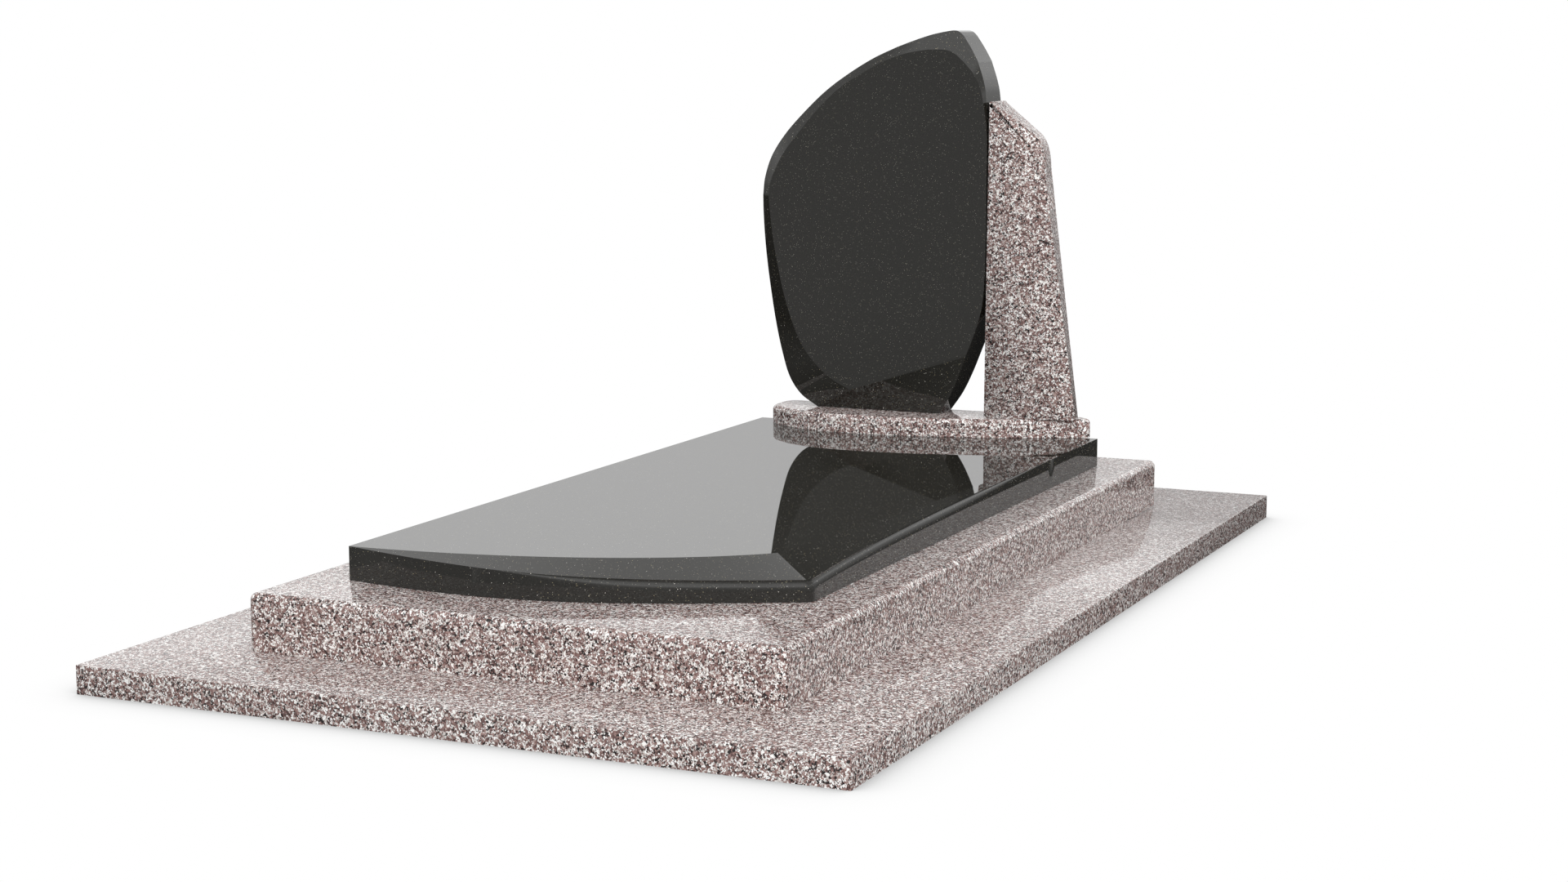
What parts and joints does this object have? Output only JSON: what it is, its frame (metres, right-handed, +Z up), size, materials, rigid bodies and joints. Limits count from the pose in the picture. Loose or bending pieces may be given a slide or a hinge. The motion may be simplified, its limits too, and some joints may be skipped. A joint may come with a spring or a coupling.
{
  "type": "grave monument",
  "caption": "Single grave monument in speckled and black granite: stepped base, bowed ledger, plinth, leaf-shaped headstone and side pillar.",
  "frame": {"origin": "centre of the base slab's underside, on the ground", "axes": "+Z up, +Y from the foot end toward the headstone, +X to the right of someone who faces the headstone from the foot"},
  "size_m": [1.4, 2.42, 1.0922],
  "materials": {
    "base_granite": "polished mauve and white speckled granite",
    "kerb_granite": "polished mauve and white speckled granite",
    "ledger_granite": "mirror-polished black granite with fine golden flecks",
    "plinth_granite": "polished mauve and white speckled granite",
    "headstone_granite": "mirror-polished black granite with fine golden flecks",
    "pillar_granite": "polished mauve and white speckled granite"
  },
  "bodies": {
    "root": {"base_slab": "base_granite", "kerb": "kerb_granite", "ledger": "ledger_granite", "headstone_plinth": "plinth_granite", "headstone": "headstone_granite", "side_pillar": "pillar_granite"}
  },
  "joints": []
}
